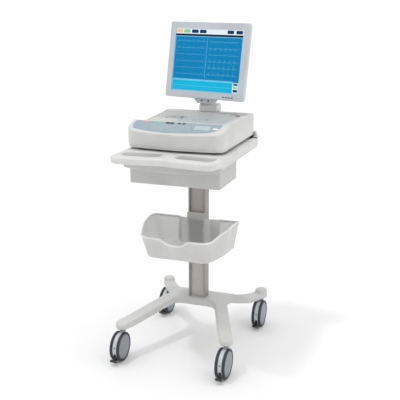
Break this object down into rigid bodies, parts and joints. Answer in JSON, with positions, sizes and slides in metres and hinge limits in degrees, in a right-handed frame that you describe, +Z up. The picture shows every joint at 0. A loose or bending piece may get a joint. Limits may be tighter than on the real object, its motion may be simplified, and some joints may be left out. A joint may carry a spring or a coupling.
{
  "type": "electrocardiograph workstation",
  "caption": "Electrocardiograph workstation: tilting touch monitor and recorder with keyboard on a wheeled cart with handle, drawer and storage bin.",
  "frame": {"origin": "on the floor, under the middle of the object's footprint box", "axes": "+Z up, -Y out of the front where the user stands, +X to that user's right"},
  "size_m": [0.524, 0.6956, 1.4007],
  "materials": {
    "plastic_white": "moulded ABS, satin, very fine texture",
    "plastic_tray": "structural foam moulding, satin",
    "plastic_drawer": "moulded, satin",
    "plastic_bin": "moulded, satin",
    "base_paint": "powder coated cast aluminium",
    "column_metal": "anodised extrusion",
    "strip_plastic": "extruded cover strip",
    "bracket_paint": "powder coated steel plate",
    "steel": "zinc plated",
    "hook_paint": "powder coated sheet steel",
    "caster_grey": "glass filled nylon",
    "hub_grey": "moulded wheel disc",
    "tread": "polyurethane tread",
    "pedal_black": "moulded, satin",
    "panel_blue": "printed membrane overlay",
    "key_white": "moulded key cap",
    "cover_grey": "moulded, satin",
    "print_metal": "machined heat sink",
    "roller_rubber": "ground silicone rubber",
    "board_green": "printed circuit board",
    "battery_wrap": "shrink wrapped cells",
    "foot_rubber": "moulded rubber",
    "socket_black": "moulded, satin",
    "post_paint": "painted casting",
    "bezel_silver": "painted moulding, satin",
    "glass": "touch glass",
    "screen": "lit display panel"
  },
  "bodies": {
    "cart": {"base_casting": "base_paint", "column_extrusion": "column_metal", "channel_strip": "strip_plastic", "tray_bracket": "bracket_paint", "frame_bolts": "steel", "bin_hook": "hook_paint", "storage_bin": "plastic_bin", "tray": "plastic_tray", "slide_rails": "steel", "recorder_base": "plastic_white", "recorder_top": "plastic_white", "keyboard_panel": "panel_blue", "print_head": "print_metal", "main_board": "board_green", "battery_pack": "battery_wrap", "recorder_feet": "foot_rubber", "rear_sockets": "socket_black", "neck_post": "post_paint"},
    "drawer": {"drawer_box": "plastic_drawer", "drawer_front": "plastic_drawer", "slide_runners": "steel"},
    "paper_door": {"paper_cover": "cover_grey"},
    "platen": {"platen_roller": "roller_rubber"},
    "start_button": {"start_key": "key_white"},
    "swivel": {"swivel_head": "post_paint"},
    "monitor": {"tilt_bracket": "bezel_silver", "tilt_pin": "steel", "monitor_bezel": "bezel_silver", "touch_glass": "glass", "lcd_panel": "screen", "monitor_back_cover": "bezel_silver", "monitor_board": "board_green"},
    "front_left_caster": {"front_left_caster_housing": "caster_grey", "front_left_caster_pins": "steel"},
    "front_left_brake": {"front_left_brake_pedal": "pedal_black"},
    "front_left_left_wheel": {"front_left_left_hub": "hub_grey", "front_left_left_tyre": "tread"},
    "front_left_right_wheel": {"front_left_right_hub": "hub_grey", "front_left_right_tyre": "tread"},
    "front_right_caster": {"front_right_caster_housing": "caster_grey", "front_right_caster_pins": "steel"},
    "front_right_brake": {"front_right_brake_pedal": "pedal_black"},
    "front_right_left_wheel": {"front_right_left_hub": "hub_grey", "front_right_left_tyre": "tread"},
    "front_right_right_wheel": {"front_right_right_hub": "hub_grey", "front_right_right_tyre": "tread"},
    "rear_left_caster": {"rear_left_caster_housing": "caster_grey", "rear_left_caster_pins": "steel"},
    "rear_left_brake": {"rear_left_brake_pedal": "pedal_black"},
    "rear_left_left_wheel": {"rear_left_left_hub": "hub_grey", "rear_left_left_tyre": "tread"},
    "rear_left_right_wheel": {"rear_left_right_hub": "hub_grey", "rear_left_right_tyre": "tread"},
    "rear_right_caster": {"rear_right_caster_housing": "caster_grey", "rear_right_caster_pins": "steel"},
    "rear_right_brake": {"rear_right_brake_pedal": "pedal_black"},
    "rear_right_left_wheel": {"rear_right_left_hub": "hub_grey", "rear_right_left_tyre": "tread"},
    "rear_right_right_wheel": {"rear_right_right_hub": "hub_grey", "rear_right_right_tyre": "tread"}
  },
  "joints": [
    {"name": "drawer_slide", "type": "slide", "parent": "cart", "child": "drawer", "axis": [0, -1, 0], "range_m": [0, 0.19]},
    {"name": "paper_door_slide", "type": "slide", "parent": "cart", "child": "paper_door", "axis": [-1, 0, 0], "range_m": [0, 0.15]},
    {"name": "platen_spin", "type": "hinge", "parent": "cart", "child": "platen", "pos_m": [0, -0.08475, 0.991], "axis": [1, 0, 0], "continuous": true},
    {"name": "start_button_press", "type": "slide", "parent": "cart", "child": "start_button", "axis": [0, 0.3752, -0.9269], "range_m": [0, 0.0015], "stiffness_N_per_m": 600},
    {"name": "monitor_swivel", "type": "hinge", "parent": "cart", "child": "swivel", "pos_m": [0, 0.24225, 1.045], "axis": [0, 0, 1], "range_deg": [-33.7, 56.3]},
    {"name": "monitor_tilt", "type": "hinge", "parent": "swivel", "child": "monitor", "pos_m": [-0.00431, 0.22068, 1.062], "axis": [0.9806, -0.1959, 0], "range_deg": [-15, 12]},
    {"name": "front_left_caster_swivel", "type": "hinge", "parent": "cart", "child": "front_left_caster", "pos_m": [-0.234, -0.22375, 0.1335], "axis": [0, 0, 1], "continuous": true},
    {"name": "front_left_left_wheel_spin", "type": "hinge", "parent": "front_left_caster", "child": "front_left_left_wheel", "pos_m": [-0.234, -0.25275, 0.0625], "axis": [1, 0, 0], "continuous": true},
    {"name": "front_left_right_wheel_spin", "type": "hinge", "parent": "front_left_caster", "child": "front_left_right_wheel", "pos_m": [-0.234, -0.25275, 0.0625], "axis": [1, 0, 0], "continuous": true},
    {"name": "front_left_brake_press", "type": "hinge", "parent": "front_left_caster", "child": "front_left_brake", "pos_m": [-0.234, -0.27875, 0.0365], "axis": [1, 0, 0], "range_deg": [0, 12]},
    {"name": "front_right_caster_swivel", "type": "hinge", "parent": "cart", "child": "front_right_caster", "pos_m": [0.234, -0.22375, 0.1335], "axis": [0, 0, 1], "continuous": true},
    {"name": "front_right_left_wheel_spin", "type": "hinge", "parent": "front_right_caster", "child": "front_right_left_wheel", "pos_m": [0.234, -0.25275, 0.0625], "axis": [1, 0, 0], "continuous": true},
    {"name": "front_right_right_wheel_spin", "type": "hinge", "parent": "front_right_caster", "child": "front_right_right_wheel", "pos_m": [0.234, -0.25275, 0.0625], "axis": [1, 0, 0], "continuous": true},
    {"name": "front_right_brake_press", "type": "hinge", "parent": "front_right_caster", "child": "front_right_brake", "pos_m": [0.234, -0.27875, 0.0365], "axis": [1, 0, 0], "range_deg": [0, 12]},
    {"name": "rear_left_caster_swivel", "type": "hinge", "parent": "cart", "child": "rear_left_caster", "pos_m": [-0.234, 0.31425, 0.1335], "axis": [0, 0, 1], "continuous": true},
    {"name": "rear_left_left_wheel_spin", "type": "hinge", "parent": "rear_left_caster", "child": "rear_left_left_wheel", "pos_m": [-0.234, 0.28525, 0.0625], "axis": [1, 0, 0], "continuous": true},
    {"name": "rear_left_right_wheel_spin", "type": "hinge", "parent": "rear_left_caster", "child": "rear_left_right_wheel", "pos_m": [-0.234, 0.28525, 0.0625], "axis": [1, 0, 0], "continuous": true},
    {"name": "rear_left_brake_press", "type": "hinge", "parent": "rear_left_caster", "child": "rear_left_brake", "pos_m": [-0.234, 0.25925, 0.0365], "axis": [1, 0, 0], "range_deg": [0, 12]},
    {"name": "rear_right_caster_swivel", "type": "hinge", "parent": "cart", "child": "rear_right_caster", "pos_m": [0.234, 0.31425, 0.1335], "axis": [0, 0, 1], "continuous": true},
    {"name": "rear_right_left_wheel_spin", "type": "hinge", "parent": "rear_right_caster", "child": "rear_right_left_wheel", "pos_m": [0.234, 0.28525, 0.0625], "axis": [1, 0, 0], "continuous": true},
    {"name": "rear_right_right_wheel_spin", "type": "hinge", "parent": "rear_right_caster", "child": "rear_right_right_wheel", "pos_m": [0.234, 0.28525, 0.0625], "axis": [1, 0, 0], "continuous": true},
    {"name": "rear_right_brake_press", "type": "hinge", "parent": "rear_right_caster", "child": "rear_right_brake", "pos_m": [0.234, 0.25925, 0.0365], "axis": [1, 0, 0], "range_deg": [0, 12]}
  ]
}
